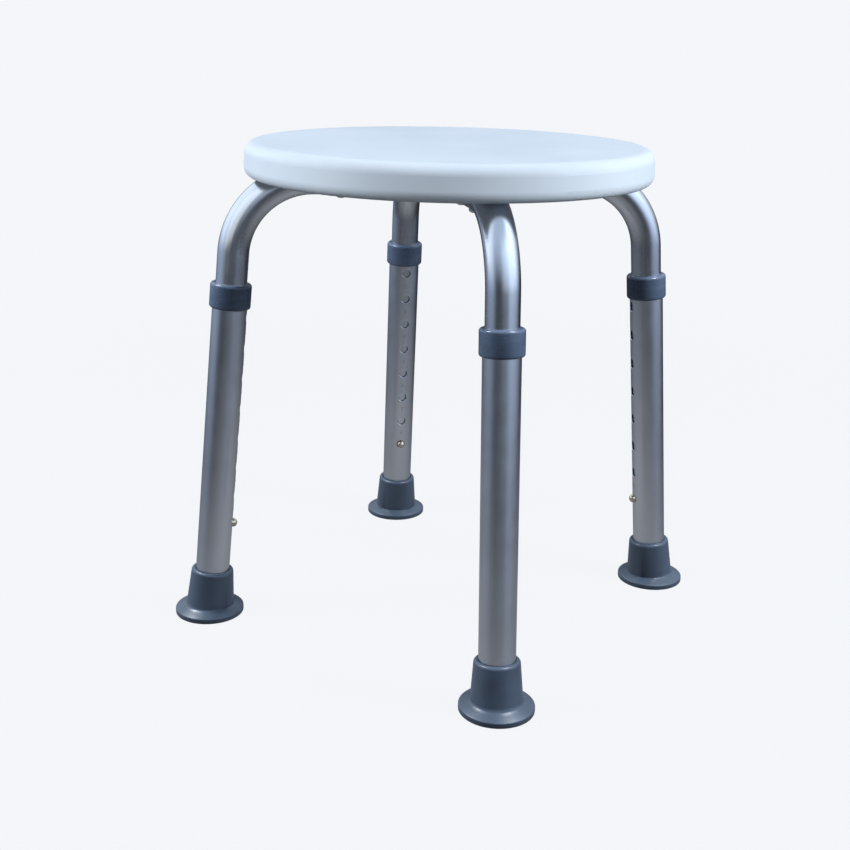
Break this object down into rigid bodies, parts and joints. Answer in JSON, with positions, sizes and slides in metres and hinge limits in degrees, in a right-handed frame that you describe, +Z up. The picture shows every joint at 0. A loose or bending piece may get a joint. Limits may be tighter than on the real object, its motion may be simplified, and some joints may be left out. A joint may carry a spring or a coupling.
{
  "type": "shower stool",
  "caption": "Round white backless shower stool on splayed aluminium legs that telescope on snap buttons, with grey collars and flanged rubber feet.",
  "frame": {"origin": "on the floor under the middle of the seat, with the legs fully in", "axes": "+Z up; the legs stand at 45 degrees to +X and +Y; front is -Y"},
  "size_m": [0.3414, 0.3414, 0.3942],
  "materials": {
    "seat_plastic": "white moulded polyethylene, satin",
    "aluminium": "satin anodised tube",
    "collar_plastic": "blue-grey moulded plastic",
    "foot_rubber": "blue-grey moulded rubber",
    "button_metal": "polished",
    "spring_steel": "spring steel strip",
    "washer_steel": "zinc plated",
    "screw_steel": "zinc plated"
  },
  "bodies": {
    "seat_frame": {"seat": "seat_plastic", "seat_screws": "screw_steel", "upper_tube_front_right": "aluminium", "snap_spring_front_right": "spring_steel", "upper_tube_back_right": "aluminium", "snap_spring_back_right": "spring_steel", "upper_tube_back_left": "aluminium", "snap_spring_back_left": "spring_steel", "upper_tube_front_left": "aluminium", "snap_spring_front_left": "spring_steel"},
    "lower_leg_front_right": {"lower_tube_front_right": "aluminium", "collar_front_right": "collar_plastic", "foot_front_right": "foot_rubber", "foot_washer_front_right": "washer_steel"},
    "button_front_right": {"snap_button_front_right": "button_metal"},
    "lower_leg_back_right": {"lower_tube_back_right": "aluminium", "collar_back_right": "collar_plastic", "foot_back_right": "foot_rubber", "foot_washer_back_right": "washer_steel"},
    "button_back_right": {"snap_button_back_right": "button_metal"},
    "lower_leg_back_left": {"lower_tube_back_left": "aluminium", "collar_back_left": "collar_plastic", "foot_back_left": "foot_rubber", "foot_washer_back_left": "washer_steel"},
    "button_back_left": {"snap_button_back_left": "button_metal"},
    "lower_leg_front_left": {"lower_tube_front_left": "aluminium", "collar_front_left": "collar_plastic", "foot_front_left": "foot_rubber", "foot_washer_front_left": "washer_steel"},
    "button_front_left": {"snap_button_front_left": "button_metal"}
  },
  "joints": [
    {"name": "leg_extend_front_right", "type": "slide", "parent": "seat_frame", "child": "lower_leg_front_right", "axis": [0.0636, -0.0636, -0.9959], "range_m": [0, 0.1778], "deforming": ["snap_spring_front_right", "snap_button_front_right"]},
    {"name": "button_press_front_right", "type": "slide", "parent": "seat_frame", "child": "button_front_right", "axis": [0.7042, -0.7042, 0.0899], "range_m": [0, 0.0056], "stiffness_N_per_m": 1200, "springref_m": -0.005, "deforming": ["snap_spring_front_right"]},
    {"name": "leg_extend_back_right", "type": "slide", "parent": "seat_frame", "child": "lower_leg_back_right", "axis": [0.0636, 0.0636, -0.9959], "range_m": [0, 0.1778], "deforming": ["snap_spring_back_right", "snap_button_back_right"]},
    {"name": "button_press_back_right", "type": "slide", "parent": "seat_frame", "child": "button_back_right", "axis": [0.7042, 0.7042, 0.0899], "range_m": [0, 0.0056], "stiffness_N_per_m": 1200, "springref_m": -0.005, "deforming": ["snap_spring_back_right"]},
    {"name": "leg_extend_back_left", "type": "slide", "parent": "seat_frame", "child": "lower_leg_back_left", "axis": [-0.0636, 0.0636, -0.9959], "range_m": [0, 0.1778], "deforming": ["snap_spring_back_left", "snap_button_back_left"]},
    {"name": "button_press_back_left", "type": "slide", "parent": "seat_frame", "child": "button_back_left", "axis": [-0.7042, 0.7042, 0.0899], "range_m": [0, 0.0056], "stiffness_N_per_m": 1200, "springref_m": -0.005, "deforming": ["snap_spring_back_left"]},
    {"name": "leg_extend_front_left", "type": "slide", "parent": "seat_frame", "child": "lower_leg_front_left", "axis": [-0.0636, -0.0636, -0.9959], "range_m": [0, 0.1778], "deforming": ["snap_spring_front_left", "snap_button_front_left"]},
    {"name": "button_press_front_left", "type": "slide", "parent": "seat_frame", "child": "button_front_left", "axis": [-0.7042, -0.7042, 0.0899], "range_m": [0, 0.0056], "stiffness_N_per_m": 1200, "springref_m": -0.005, "deforming": ["snap_spring_front_left"]}
  ]
}
